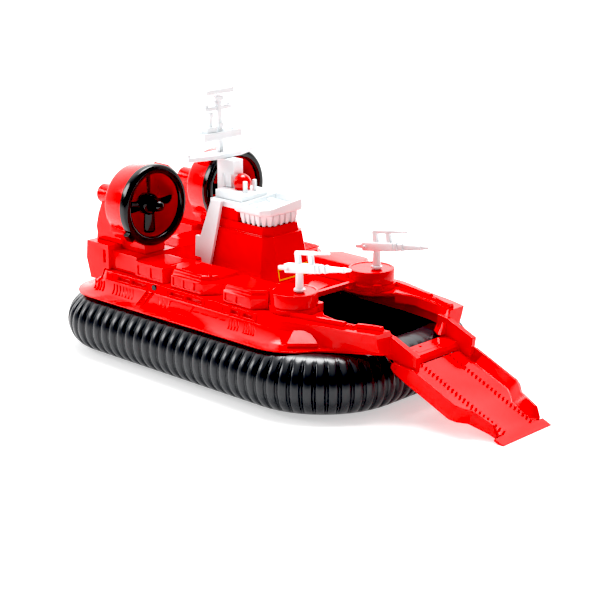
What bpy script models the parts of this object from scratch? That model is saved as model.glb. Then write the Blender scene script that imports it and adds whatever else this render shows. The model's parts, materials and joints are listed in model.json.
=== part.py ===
"""Toy hovercraft with a corrugated skirt, two ducted fans, a bridge tower and a bow ramp.

Frame: metres, +X to the bow, +Y to port, +Z up, ground at z = 0, origin under the middle
of the bounding box. Starboard is the side of negative Y.
"""
import bpy
import bmesh
from math import sin, cos, pi, radians, sqrt
from mathutils import Matrix, Vector

# Driving dimensions
GAP = 0.0003                      # air between pieces that touch
SKIRT_STERN = -0.2330             # outer stern face of the skirt
SKIRT_BOW = 0.1260                # outer bow face of the skirt
SKIRT_BEAM = 0.1180               # half the width over the skirt
TUBE_R = 0.0260                   # radius of the skirt tube over its ribs
RIB_DEPTH = 0.0016                # depth of the grooves between the ribs
RIB_PITCH = 0.0109                # length per rib, along the outer edge of the tube
STERN_TURN = 0.0300               # corner radii of the skirt's middle line
BOW_TURN = 0.0620
RIB_PHASE = 0.16                  # where the grooves lie, as a share of a rib
DECK_Z = 0.0720                   # top of the hull sides
FLANGE_Z = 2 * TUBE_R + GAP       # underside of the hull, on the tube
FAN_FRONT = -0.1470               # front face of the fan rings
FAN_Y = 0.0503                    # fan axes, to either side
FAN_Z = 0.1338
RING_R = 0.0372                   # outer radius of the black ring
THROAT_R = 0.0290                 # opening of the ring
DRUM_BACK = -0.1810               # back wall of the red drums
DRUM_FRONT = -0.1515
SLEEVE_BACK = -0.1558             # the ring grips the drum from here forward
DRUM_R = 0.0362
STUB_R = 0.0090                   # motor housing behind the drum
LUG_TURNS = (50, 220, 320)        # clamps round the drums, in degrees from inboard
SHELF_TOP = 0.0895                # top of the ledge under the fans
BLOCK_TOP = 0.0950                # top of the blocks at the stern corners
TOWER_TOP = 0.1265
ROOF_Z = 0.1366                   # underside of the bridge roof, and of its after part
AFT_ROOF_Z = 0.1375
ROOF_TOP = 0.1472
AFT_ROOF_TOP = 0.1428
HOUSE_TOP = 0.1502                # top of the box under the lamp
WING_Z = 0.1765                   # underside of the mast's cross platform
MAST_X = -0.1165
MAST_TOP = 0.2375
GUN_X = 0.0295                    # gun posts
GUN_Y = 0.0494
BASE_X = 0.0235                   # middle of the round gun bases
BASE_R = 0.0204
TIER_R = 0.0218
TIER_TOP = 0.0768
GUN_PITCH = radians(9.0)          # the barrels point a little upwards
BASE_TOP = 0.0888                 # top of the gun bases
HINGE_X = 0.1290                  # axis of the ramp
HINGE_Z = 0.0430
RAMP_SLOPE = radians(23.2)        # the ramp at rest, its tip on the ground
RAMP_TIP_X = 0.2332

NOSE_X = 0.1215                   # front end of the hull's sides
CHEEK_IN = 0.0332                 # the bow cheeks, inside the ramp's side walls
CHEEK_OUT = 0.0386
WALL_IN = 0.0390                  # the ramp's side walls
WALL_OUT = 0.0418
PIN_R = 0.0016                    # hinge pins of the ramp

SIDES = (("starboard", -1), ("port", 1))
# window slots along the upright sides of the hull
SIDE_SLOTS = ((-0.1680, -0.1515), (-0.1487, -0.1297), (-0.0979, -0.0797),
              (-0.0758, -0.0568), (-0.0207, -0.0123), (-0.0062, 0.0046))

for old in list(bpy.data.objects):
    bpy.data.objects.remove(old, do_unlink=True)


# Materials
def material(name, colour, roughness, metallic=0.0):
    """A Principled material with one colour, given as sRGB hex."""
    mat = bpy.data.materials.new(name)
    mat.use_nodes = True
    srgb = [int(colour[i:i + 2], 16) / 255 for i in (0, 2, 4)]
    linear = [c / 12.92 if c <= 0.04045 else ((c + 0.055) / 1.055) ** 2.4 for c in srgb]
    shader = mat.node_tree.nodes["Principled BSDF"]
    shader.inputs["Base Color"].default_value = (*linear, 1.0)
    shader.inputs["Roughness"].default_value = roughness
    shader.inputs["Metallic"].default_value = metallic
    mat.diffuse_color = (*linear, 1.0)
    return mat


RED = material("red_gloss_plastic", "E00A06", 0.25)
BLACK = material("black_plastic", "1A1B1E", 0.35)
WHITE = material("white_plastic", "F2F2F4", 0.35)
LENS = material("red_clear_plastic", "F01010", 0.10)


# Mesh helpers
def finish(name, bm, mat, sharp=30.0):
    """Turns a bmesh into a named object with outward faces and smooth round sides."""
    bmesh.ops.remove_doubles(bm, verts=bm.verts, dist=1e-7)
    bmesh.ops.recalc_face_normals(bm, faces=bm.faces)
    bm.normal_update()
    bent = [f for f in bm.faces if max(abs(f.normal.dot(v.co - f.verts[0].co))
                                       for v in f.verts) > 1e-6]
    bmesh.ops.triangulate(bm, faces=bent)
    mesh = bpy.data.meshes.new(name)
    bm.to_mesh(mesh)
    bm.free()
    mesh.shade_smooth()
    mesh.set_sharp_from_angle(angle=radians(sharp))
    mesh.materials.append(mat)
    obj = bpy.data.objects.new(name, mesh)
    bpy.context.scene.collection.objects.link(obj)
    return obj


def loft(rings, closed=False):
    """Joins rings of points into a skin; its ends are capped unless the row is closed."""
    bm = bmesh.new()
    rows = [[bm.verts.new(p) for p in ring] for ring in rings]
    pairs = list(zip(rows, rows[1:]))
    if closed:
        pairs.append((rows[-1], rows[0]))
    for a, b in pairs:
        for i in range(len(a)):
            j = (i + 1) % len(a)
            bm.faces.new((a[i], a[j], b[j], b[i]))
    if not closed:
        bm.faces.new(rows[0])
        bm.faces.new(rows[-1])
    return bm


def prism(outline, low, high):
    """An upright prism over an outline of (x, y) points."""
    return loft([[(x, y, z) for x, y in outline] for z in (low, high)])


def slab(outline, side_a, side_b):
    """A prism across the craft, over an outline of (x, z) points."""
    return loft([[(x, y, z) for x, z in outline] for y in (side_a, side_b)])


def box(x0, x1, y0, y1, z0, z1):
    """An axis-parallel box."""
    return prism([(x0, y0), (x1, y0), (x1, y1), (x0, y1)], z0, z1)


def disc(cx, cy, radius, low, high, sides=32):
    """An upright cylinder."""
    turn = [2 * pi * i / sides for i in range(sides)]
    return prism([(cx + radius * cos(a), cy + radius * sin(a)) for a in turn], low, high)


def lathe(profile, centre, sides=40):
    """Turns a profile of (x, radius) points about the line through centre along X.

    A profile that starts and ends on the axis gives a solid, any other one a ring.
    """
    bm = bmesh.new()
    rows = []
    for x, r in profile:
        if r == 0:
            rows.append([bm.verts.new((x, centre[0], centre[1]))] * sides)
        else:
            rows.append([bm.verts.new((x, centre[0] + r * cos(2 * pi * i / sides),
                                       centre[1] + r * sin(2 * pi * i / sides)))
                         for i in range(sides)])
    pairs = list(zip(rows, rows[1:]))
    if profile[0][1] > 0:
        pairs.append((rows[-1], rows[0]))
    for a, b in pairs:
        for i in range(sides):
            j = (i + 1) % sides
            corners = []
            for v in (a[i], a[j], b[j], b[i]):
                if v not in corners:
                    corners.append(v)
            if len(corners) > 2:
                bm.faces.new(corners)
    return bm


def boolean(obj, bm, operation, label):
    """Cuts a bmesh from the object or joins it on, as a modifier."""
    tool = finish(f"{obj.name}_{label}", bm, obj.data.materials[0])
    tool.hide_render = True
    tool.display_type = "WIRE"
    mod = obj.modifiers.new(label, "BOOLEAN")
    mod.operation = operation
    mod.solver = "EXACT"
    mod.object = tool
    return obj


def cut(obj, bm, label):
    return boolean(obj, bm, "DIFFERENCE", label)


def join(obj, bm, label):
    return boolean(obj, bm, "UNION", label)


def arc(cx, cy, radius, start, end, steps):
    """Points on a circle from one angle to another, in degrees."""
    turn = [radians(start + (end - start) * i / steps) for i in range(steps + 1)]
    return [(cx + radius * cos(a), cy + radius * sin(a)) for a in turn]


def mirrored(half):
    """Closes a starboard half outline with its mirror image."""
    other = [(x, -y, *rest) for x, y, *rest in reversed(half)]
    if abs(half[0][1]) < 1e-9:
        other = other[:-1]
    if abs(half[-1][1]) < 1e-9:
        other = other[1:]
    return half + other


# Skirt: a ribbed tube round the whole craft
def skirt_path():
    """Points and headings on the tube's middle line, by length along its outer edge."""
    stern = SKIRT_STERN + TUBE_R
    bow = SKIRT_BOW - TUBE_R
    beam = SKIRT_BEAM - TUBE_R
    corners = ((bow - BOW_TURN, beam - BOW_TURN, BOW_TURN, 0),
               (stern + STERN_TURN, beam - STERN_TURN, STERN_TURN, 90),
               (stern + STERN_TURN, STERN_TURN - beam, STERN_TURN, 180),
               (bow - BOW_TURN, BOW_TURN - beam, BOW_TURN, 270))
    pieces = []
    for i, (cx, cy, r, start) in enumerate(corners):
        nx, ny, nr, nstart = corners[(i + 1) % 4]
        pieces.append(("turn", cx, cy, r, radians(start), (r + TUBE_R) * pi / 2))
        a = radians(start + 90)
        p = Vector((cx + r * cos(a), cy + r * sin(a)))
        q = Vector((nx + nr * cos(a), ny + nr * sin(a)))
        pieces.append(("run", p, q, a, (q - p).length))
    total = sum(piece[-1] for piece in pieces)
    ribs = round(total / RIB_PITCH)

    def at(s):
        for piece in pieces:
            if s <= piece[-1]:
                break
            s -= piece[-1]
        if piece[0] == "turn":
            _, cx, cy, r, start, length = piece
            a = start + s / (r + TUBE_R)
            return Vector((cx + r * cos(a), cy + r * sin(a))), a
        _, p, q, a, length = piece
        return p.lerp(q, min(s / length, 1.0)), a

    return at, total, ribs


def build_skirt(sides=16):
    """Broad ribs with narrow grooves between them, plain where the tube faces inwards."""
    at, total, ribs = skirt_path()
    rows = ((RIB_PHASE, 1.0), (RIB_PHASE + 0.22, 0.0), (RIB_PHASE + 0.78, 0.0))
    rings = []
    for i, (phase, groove) in ((i, row) for i in range(ribs) for row in rows):
        centre, heading = at(total * (i + phase) / ribs)
        ring = []
        for k in range(sides):
            a = 2 * pi * (k + 0.5) / sides
            inner = min(1.0, max(0.0, -2.5 * cos(a)))
            r = TUBE_R / cos(pi / sides) - RIB_DEPTH * groove * (1 - inner)
            out = r * cos(a)
            ring.append((centre.x + out * cos(heading), centre.y + out * sin(heading),
                         TUBE_R + r * sin(a)))
        rings.append(ring)
    return finish("skirt", loft(rings, closed=True), BLACK, sharp=50)


def build_floor():
    """The black floor of the hold, inside the tube, with a bevelled edge."""
    rings = []
    for z, inset in ((0.0130, 0.0243), (0.0150, 0.0243), (0.0160, 0.0270)):
        stern = SKIRT_STERN + TUBE_R + inset
        bow = SKIRT_BOW - TUBE_R - inset
        beam = SKIRT_BEAM - TUBE_R - inset
        rs = STERN_TURN - inset
        rb = BOW_TURN - inset
        half = [(stern, 0)] + arc(stern + rs, rs - beam, rs, 180, 270, 2)
        half += arc(bow - rb, rb - beam, rb, 270, 360, 5)[:-1] + [(bow, 0)]
        rings.append([(x, y, z) for x, y in mirrored(half)])
    return finish("hold_floor", loft(rings), BLACK, sharp=20)


# Hull: flange, sloped louvre panels, upright sides and the open hold
def hull_rings(grow=0.0):
    """Levels of the hull's outside from its edge up, moved outwards by grow."""
    stern_x, stern_y = -0.182, -0.065
    bow_x, bow_y = 0.033, -0.060
    shoulder = 6
    rings = []
    # every level has its height and its distance inside the flange's edge
    for level, z, inset in (("edge", FLANGE_Z, 0.0), ("flange", 0.0535, 0.0),
                            ("chine", 0.0552, 0.0110), ("panel", 0.0640, 0.0225),
                            ("deck", DECK_Z, 0.0250)):
        inset -= grow
        z += grow
        blend = {"edge": 0.0, "flange": 0.0, "chine": 0.35, "panel": 0.75, "deck": 1.0}[level]
        half = [(stern_x - 0.040 + inset, 0, z)]
        half += [(x, y, z) for x, y in arc(stern_x, stern_y, 0.040 - inset, 180, 270, 5)]
        for i, (x, y) in enumerate(arc(bow_x, bow_y, 0.045 - inset, 270, 335, shoulder)):
            t = i / shoulder
            rail = Vector((bow_x, -0.080)).lerp(Vector((0.100, -0.0640)), t)
            foot = Vector((x, y))
            half.append((*foot.lerp(rail, blend * t), z))
        half.append((0.095 + 0.017 * blend, -0.0640 + 0.0035 * blend, z))
        half.append((NOSE_X, -0.0470 - 0.0105 * blend, z))
        rings.append(mirrored(half))
    return rings


def build_hull():
    """A block on the skirt with bevelled sides; the hold is cut through it."""
    hull = finish("hull", loft(hull_rings()), RED, sharp=20)
    around = [(0.0530, -0.0440), (0.0445, -0.0365), (0.0380, -0.0310), (0.0300, -0.0285),
              (0.0080, -0.0285)]
    low = [(0.150, -0.0250), (0.1180, -0.0250), (0.0980, -0.0400), (0.0720, -0.0480)]
    high = [(0.150, -0.0385), (0.1180, -0.0395), (0.0980, -0.0455), (0.0760, -0.0490)]
    cutter = loft([[(x, y, 0.0400) for x, y in mirrored(low + around)],
                   [(x, y, 0.0500) for x, y in mirrored(low + around)],
                   [(x, y, 0.0720 + GAP) for x, y in mirrored(high + around)],
                   [(x, y, 0.0900) for x, y in mirrored(high + around)]])
    cut(hull, cutter, "hold")
    cut(hull, box(-0.0700, 0.0550, -0.0600, 0.0600, 0.0400, DECK_Z - 0.0030), "under_deck")
    half = [(-0.0690, -0.0590), (0.0550, -0.0590), (0.0850, -0.0555), (0.1080, -0.0480)]
    cut(hull, prism(mirrored(half), 0.0400, 0.0640), "under_bow")
    for label, side in SIDES:
        profile = [(0.1120, FLANGE_Z), (0.1290, 0.0395), (0.1430, 0.0345), (0.1480, 0.0400),
                   (0.1500, 0.0545), (0.1230, 0.0660), (0.1120, 0.0680)]
        join(hull, slab(profile, side * CHEEK_IN, side * CHEEK_OUT), f"cheek_{label}")
        pin = slab([(HINGE_X + x, HINGE_Z + z) for x, z in arc(0, 0, PIN_R, 0, 337.5, 15)],
                   side * 0.0360, side * 0.0414)
        join(hull, pin, f"pin_{label}")
        for i, (x0, x1) in enumerate(SIDE_SLOTS):
            cut(hull, box(x0, x1, side * 0.0788, side * 0.0900, 0.0664, 0.0706),
                f"slot_{label}_{i}")
    # the sill's lip curves down round the hinge, inside the sweep of the ramp's plate
    profile = [(0.1200, 0.0482), (0.1330, 0.0452), (0.1344, 0.0418), (0.1361, 0.0416),
               (0.1361, 0.0448), (0.1340, 0.0480), (0.1200, 0.0510)]
    join(hull, slab(profile, -0.0360, 0.0360), "sill")
    return hull


def build_beam():
    """Flat bar across the hold, from one gun base to the other."""
    half = GUN_Y - BASE_R - GAP
    return finish("hold_rear_beam", box(0.0182, 0.0231, -half, half, TIER_TOP + GAP, 0.0802),
                  RED)


# Stern blocks, pylons and fans
def build_stern_block(name, side):
    """Tall block that hangs over the stern corner, with half of the shelf before it."""
    profile = [(-0.2105, 0.0600), (-0.2158, 0.0785), (-0.2142, BLOCK_TOP),
               (-0.1840, BLOCK_TOP),
               (-0.1840, 0.0600)]
    block = finish(f"stern_block_{name}", slab(profile, side * 0.0260, side * 0.0780), RED)
    cut(block, loft(hull_rings(GAP)), "seat")
    cut(block, box(-0.1915, -0.1885, side * 0.0762, side * 0.0800, 0.0780, 0.0900), "recess")
    shelf = [(-0.1850, DECK_Z + GAP), (-0.1850, SHELF_TOP), (-0.1500, SHELF_TOP),
             (-0.1500, DECK_Z + GAP)]
    join(block, slab(shelf, side * GAP / 2, side * 0.0735), "shelf")
    return block


def build_pylon(name, side):
    """Fin that carries the drum and its stub from the stern block."""
    y = side * FAN_Y
    low = BLOCK_TOP + GAP
    profile = [(-0.2128, low), (-0.1780, low), (-0.1780, 0.1320), (-0.2036, 0.1320),
               (-0.2094, 0.1194), (-0.2130, 0.1070), (-0.2118, 0.1009)]
    pylon = finish(f"fan_pylon_{name}", slab(profile, y - 0.0170, y + 0.0170), RED)
    cut(pylon, lathe([(-0.30, 0), (-0.30, STUB_R + GAP), (DRUM_BACK - GAP, STUB_R + GAP),
                      (DRUM_BACK - GAP, DRUM_R + GAP), (0.0, DRUM_R + GAP), (0.0, 0)],
                     (y, FAN_Z)), "drum_seat")
    foot = [(-0.1837, SHELF_TOP + GAP), (-0.1837, 0.1020), (-0.1515, 0.1020),
            (-0.1515, SHELF_TOP + GAP)]
    saddle = slab(foot, y - 0.0120, y + 0.0120)
    join(pylon, saddle, "saddle")
    cut(pylon, lathe([(DRUM_BACK - GAP, 0), (DRUM_BACK - GAP, DRUM_R + GAP),
                      (SLEEVE_BACK, DRUM_R + GAP), (SLEEVE_BACK, RING_R + GAP),
                      (0.0, RING_R + GAP), (0.0, 0)], (y, FAN_Z)), "ring_seat")
    return pylon


def build_drum(name, side):
    """Red drum behind the ring, closed at the back, with the motor stub behind it."""
    back = DRUM_BACK
    profile = [(-0.2215, 0), (-0.2215, STUB_R - 0.0010), (-0.2205, STUB_R), (back, STUB_R),
               (back, 0.0325), (back + 0.0015, 0.0340), (SLEEVE_BACK, DRUM_R),
               (SLEEVE_BACK, 0.0355), (DRUM_FRONT, 0.0355), (DRUM_FRONT, 0.0303),
               (back + 0.0025, 0.0303), (back + 0.0025, 0.0040),
               (-0.1658, 0.0040), (-0.1658, 0)]
    drum = finish(f"fan_drum_{name}", lathe(profile, (side * FAN_Y, FAN_Z)), RED)
    for i, turn in enumerate(LUG_TURNS):
        join(drum, lug(turn, side, 0.0330, 0.0395, 0.0042, -0.1740, SLEEVE_BACK), f"lug_{i}")
    return drum


def lug(turn, side, inner, outer, half, back, front):
    """A small block on the rim of a fan, at an angle counted from inboard to the top."""
    a = radians(turn)
    out = Vector((0, -side * cos(a), sin(a)))
    along = Vector((0, sin(a), side * cos(a)))
    centre = Vector((0, side * FAN_Y, FAN_Z))
    rings = []
    for x in (back, front):
        rings.append([centre + out * r + along * w + Vector((x, 0, 0))
                      for r, w in ((inner, -half), (outer, -half * 0.7),
                                   (outer, half * 0.7), (inner, half))])
    return loft(rings)


def build_ring(name, side):
    """Black intake ring: a sleeve over the drum's front and a rounded lip before it."""
    front = FAN_FRONT
    back = SLEEVE_BACK + GAP
    step = DRUM_FRONT + GAP
    profile = [(step, 0.0355 + GAP), (back, 0.0355 + GAP), (back, 0.0370), (back + 0.0005, RING_R),
               (front - 0.0030, RING_R), (front - 0.0008, 0.0366), (front, 0.0348),
               (front - 0.0002, 0.0320), (front - 0.0015, 0.0302), (front - 0.0035, THROAT_R),
               (step, THROAT_R)]
    ring = finish(f"fan_ring_{name}", lathe(profile, (side * FAN_Y, FAN_Z)), BLACK)
    join(ring, lug(LUG_TURNS[1], side, 0.0362, 0.0410, 0.0040, back, front - 0.0015), "lug")
    return ring


def build_rotor(name, side):
    """Four broad pitched blades on a hub with a pointed nose."""
    y, z = side * FAN_Y, FAN_Z
    hub = [(-0.1655, 0), (-0.1655, 0.0080), (-0.1640, 0.0098), (-0.1560, 0.0098),
           (-0.1545, 0.0085), (-0.1535, 0.0062), (-0.1470, 0.0058), (-0.1430, 0.0048),
           (-0.1405, 0.0030), (-0.1395, 0)]
    rotor = finish(f"fan_rotor_{name}", lathe(hub, (0, 0), 24), BLACK)
    for k in range(4):
        bm = loft([blade_section(r) for r in (0.0030, 0.0080, 0.0160, 0.0230, 0.0268)])
        bmesh.ops.rotate(bm, verts=bm.verts, matrix=Matrix.Rotation(k * pi / 2, 3, "X"))
        join(rotor, bm, f"blade_{k}")
    rotor.location = (0, y, z)
    for mod in rotor.modifiers:
        mod.object.parent = rotor
    return rotor


def blade_section(r):
    """A blade's section at radius r, standing up along +Z, turned by its pitch."""
    chord = 0.0082 + 0.0022 * min(1.0, r / 0.0200)
    thick = 0.0016 - 0.0005 * r / 0.0268
    pitch = radians(40 - 14 * r / 0.0268)
    corners = [(-chord / 2, -thick / 2), (chord / 2, -thick / 2),
               (chord / 2, thick / 2), (-chord / 2, thick / 2)]
    return [(-0.1580 + b * cos(pitch) - a * sin(pitch), a * cos(pitch) + b * sin(pitch), r)
            for a, b in corners]


# Tower, bridge and mast
def tower_ring(z, back, front, half_width, chamfer):
    half = [(back, 0), (back, -half_width), (front - chamfer, -half_width),
            (front, chamfer - half_width), (front, 0)]
    return [(x, y, z) for x, y in mirrored(half)]


def build_tower():
    """Red deckhouse that leans in on all sides, with a step below the bridge windows."""
    rings = [tower_ring(DECK_Z + GAP, -0.1080, -0.0200, 0.0345, 0.0130),
             tower_ring(0.0790, -0.1065, -0.0225, 0.0325, 0.0120),
             tower_ring(0.0792, -0.1055, -0.0240, 0.0315, 0.0115),
             tower_ring(0.1185, -0.1000, -0.0315, 0.0245, 0.0070),
             tower_ring(0.1190, -0.0998, -0.0335, 0.0228, 0.0070),
             tower_ring(TOWER_TOP, -0.0995, -0.0350, 0.0215, 0.0065)]
    tower = finish("tower", loft(rings), RED, sharp=20)
    half = [(-0.0990, 0), (-0.0990, -0.0205), (-0.0735, -0.0205), (-0.0735, 0)]
    upper = loft([[(x, y, z) for x, y in mirrored(half)] for z in (0.1240, AFT_ROOF_Z - GAP)])
    join(tower, upper, "upper")
    return tower


def build_windows():
    """The white bridge front: slats that lean outwards, with gaps between them."""
    corners = [(-0.0700, -0.0203), (-0.0445, -0.0203), (-0.0372, -0.0140),
               (-0.0372, 0.0140), (-0.0445, 0.0203), (-0.0700, 0.0203)]
    outline = []
    for (ax, ay), (bx, by) in zip(corners, corners[1:]):
        length = sqrt((bx - ax) ** 2 + (by - ay) ** 2)
        count = max(2, round(length / 0.0046))
        nx, ny = (by - ay) / length, (ax - bx) / length
        for i in range(count):
            for t, proud in ((0.08, 0), (0.12, 1), (0.70, 1), (0.74, 0)):
                s = (i + t) / count
                out = 0.0012 * proud
                outline.append((ax + (bx - ax) * s + nx * out, ay + (by - ay) * s + ny * out))
    low = [(x, y, TOWER_TOP + GAP) for x, y in outline]
    high = [(-0.068 + (x + 0.068) * 1.06, y * 1.12, ROOF_Z - GAP) for x, y in outline]
    return finish("bridge_windows", loft([low, high]), WHITE)


def roof_outline(grow):
    half = [(-0.0720 - grow, 0), (-0.0720 - grow, -0.0262 - grow),
            (-0.0405 + grow * 0.4, -0.0262 - grow), (-0.0332 + grow, -0.0196 - grow * 0.4),
            (-0.0332 + grow, 0)]
    return mirrored(half)


def build_roof():
    """White roof with a raised rim, wider over the windows than abaft them."""
    roof = finish("bridge_roof", prism(roof_outline(0), ROOF_Z, ROOF_TOP), WHITE)
    cut(roof, prism(roof_outline(-0.0016), 0.1395, 0.1500), "well")
    half = [(-0.1080, 0), (-0.1080, -0.0215), (-0.0715, -0.0215), (-0.0715, 0)]
    join(roof, prism(mirrored(half), AFT_ROOF_Z, AFT_ROOF_TOP), "after_part")
    return roof


def build_lamp_house():
    """Sloped white box on the roof, under the lamp and in front of the mast."""
    profile = [(-0.1060, AFT_ROOF_TOP + GAP), (-0.1060, HOUSE_TOP), (-0.0800, HOUSE_TOP),
               (-0.0728, 0.1475), (-0.0728, AFT_ROOF_TOP + GAP)]
    house = finish("lamp_house", slab(profile, -0.0165, 0.0165), WHITE)
    for label, side in SIDES:
        join(house, box(-0.0802, -0.0770, side * 0.0043, side * 0.0073, 0.1480, 0.1595),
             f"horn_{label}")
    return house


def build_column():
    """The slim white post behind the bridge that carries the mast, with its stepped box."""
    column = finish("mast_column", box(-0.1155, -0.1063, -0.0048, 0.0048, AFT_ROOF_TOP,
                                       WING_Z - GAP), WHITE)
    cut(column, box(-0.1080 - GAP, -0.1000, -0.0250, 0.0250, 0.1300, HOUSE_TOP + GAP), "seat")
    join(column, box(-0.1080, -0.0930, -0.0060, 0.0060, 0.1630, 0.1760), "upper_box")
    join(column, box(-0.1080, -0.0985, -0.0040, 0.0040, HOUSE_TOP + GAP, 0.1640), "lower_box")
    return column


def build_wing():
    """The platform across the top of the column."""
    outline = [(-0.1235, -0.0160), (-0.1195, -0.0415), (-0.1130, -0.0415),
               (-0.1050, -0.0160), (-0.1050, 0.0160), (-0.1130, 0.0415),
               (-0.1195, 0.0415), (-0.1235, 0.0160)]
    return finish("mast_wing", prism(outline, WING_Z, WING_Z + 0.0040), WHITE)


def build_mast():
    """Raked mast with a platform, a yard, two small crosspieces and a side aerial."""
    low = WING_Z + 0.0040 + GAP
    post = [(MAST_X - 0.0024, low), (MAST_X - 0.0044, MAST_TOP - 0.0020),
            (MAST_X - 0.0004, MAST_TOP - 0.0020), (MAST_X + 0.0024, low)]
    mast = finish("mast_post", slab(post, -0.0018, 0.0018), WHITE)
    bars = (("platform", 0.0062, 0.0230, 0.1925, 0.1955), ("spar", 0.0022, 0.0155, 0.2188, 0.2208),
            ("tee", 0.0034, 0.0062, 0.2280, 0.2296),
            ("top", 0.0048, 0.0165, MAST_TOP - 0.0030, MAST_TOP))
    for label, deep, wide, z0, z1 in bars:
        x = MAST_X - 0.0010 - 0.0020 * (z0 > 0.2)
        join(mast, box(x - deep, x + deep, -wide, wide, z0, z1), label)
    join(mast, box(MAST_X - 0.0050, MAST_X + 0.0030, -0.0175, -0.0065, 0.1945, 0.2030), "locker")
    join(mast, box(MAST_X - 0.0030, MAST_X + 0.0008, -0.0118, -0.0086, 0.2020, 0.2160), "aerial")
    return mast


def build_leg(name, side):
    """White leg that leans in against the tower's after corner, with a fin at its foot."""
    profile = [(-0.1160, 0.0893), (-0.1080, 0.0893), (-0.1050, 0.0810), (-0.0960, 0.0810),
               (-0.0900, AFT_ROOF_TOP), (-0.1030, AFT_ROOF_TOP), (-0.1120, 0.1080),
               (-0.1180, 0.1080)]
    rings = []
    for out in (0.0, 0.0032):
        rings.append([(x, side * (0.0318 + out - 0.0100 * (z - 0.081) / 0.0618), z)
                      for x, z in profile])
    return finish(f"mast_leg_{name}", loft(rings), WHITE)


def build_beacon():
    """Red dome of the lamp on the bridge."""
    profile = [(HOUSE_TOP + GAP, 0), (HOUSE_TOP + GAP, 0.0070)]
    profile += [(0.1560 + 0.0081 * sin(a), 0.0081 * cos(a))
                for a in (radians(d) for d in (-38, -15, 10, 35, 55, 75))]
    profile += [(0.1642, 0)]
    bm = lathe([(x, r) for x, r in profile], (0, 0), 24)
    bmesh.ops.rotate(bm, verts=bm.verts, matrix=Matrix.Rotation(-pi / 2, 3, "Y"))
    bmesh.ops.translate(bm, verts=bm.verts, vec=(-0.0880, 0, 0))
    return finish("beacon", bm, LENS)


# Side deckhouses
def build_locker(name, side):
    """Low block along the side between the stern block and the after house."""
    outline = [(-0.1497, 0.0400), (-0.1497, 0.0765), (-0.1123, 0.0765), (-0.1123, 0.0400)]
    outline = [(x, side * y) for x, y in outline]
    locker = finish(f"side_locker_{name}", prism(outline, DECK_Z + GAP, 0.0870), RED)
    for i, (x0, x1) in enumerate(((-0.1460, -0.1330), (-0.1290, -0.1160))):
        cut(locker, box(x0, x1, side * 0.0755, side * 0.0800, 0.0750, 0.0835), f"panel_{i}")
    return locker


def house_rings(x0, x1, y0, y1, side, top):
    """Rings of a deckhouse with cut corners outboard and a smaller raised roof."""
    rings = []
    for z, inset in ((DECK_Z + GAP, 0.0), (top - 0.0060, 0.0), (top - 0.0040, 0.0020),
                     (top - 0.0015, 0.0024), (top, 0.0040)):
        cut_x = 0.0110 - inset * 0.4
        cut_y = 0.0130 - inset * 0.4
        a, b, c, d = x0 + inset, x1 - inset, y0 + inset, y1 - inset
        outline = [(a, c), (a, d - cut_y), (a + cut_x, d), (b - cut_x, d), (b, d - cut_y),
                   (b, c)]
        rings.append([(x, side * y, z) for x, y in outline])
    return rings


def build_house_aft(name, side):
    house = finish(f"side_house_aft_{name}",
                   loft(house_rings(-0.1120, -0.0515, 0.0380, 0.0770, side, 0.0890)), RED)
    for i, x in enumerate((-0.0985, -0.0850, -0.0715)):
        cut(house, box(x, x + 0.0100, side * 0.0760, side * 0.0800, 0.0745, 0.0815),
            f"panel_{i}")
    return house


def build_house_fore(name, side):
    house = finish(f"side_house_fore_{name}",
                   loft(house_rings(-0.0460, 0.0100, 0.0400, 0.0770, side, 0.0880)), RED)
    for i, x in enumerate((-0.0325, -0.0190)):
        cut(house, box(x, x + 0.0100, side * 0.0760, side * 0.0800, 0.0745, 0.0805),
            f"panel_{i}")
    cut(house, disc(BASE_X, side * GUN_Y, TIER_R + GAP, 0.0600, 0.1000, 40), "base_seat")
    return house


def build_hatch():
    """Low plate on the deck in front of the tower."""
    half = [(-0.0180, 0), (-0.0180, -0.0180), (-0.0130, -0.0230), (0.0020, -0.0180),
            (0.0060, 0)]
    return finish("deck_hatch", prism(mirrored(half), DECK_Z + GAP, 0.0752), RED)


# Gun bases and guns
def build_gun_base(name, side):
    y = side * GUN_Y
    base = finish(f"gun_base_{name}", disc(BASE_X, y, BASE_R, DECK_Z + GAP, BASE_TOP, 40), RED)
    join(base, disc(0.0405, side * 0.0375, 0.0042, DECK_Z + GAP, 0.0790, 20), "boss")
    join(base, disc(BASE_X, y, TIER_R, DECK_Z + GAP, TIER_TOP, 40), "tier")
    return base


def gun_bar(x0, x1, half0, half1, high0, high1, lift):
    """A bar along the barrel, with its half width and half height at both ends."""
    return loft([[(x0, -half0, lift - high0), (x0, half0, lift - high0),
                  (x0, half0, lift + high0), (x0, -half0, lift + high0)],
                 [(x1, -half1, lift - high1), (x1, half1, lift - high1),
                  (x1, half1, lift + high1), (x1, -half1, lift + high1)]])


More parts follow.
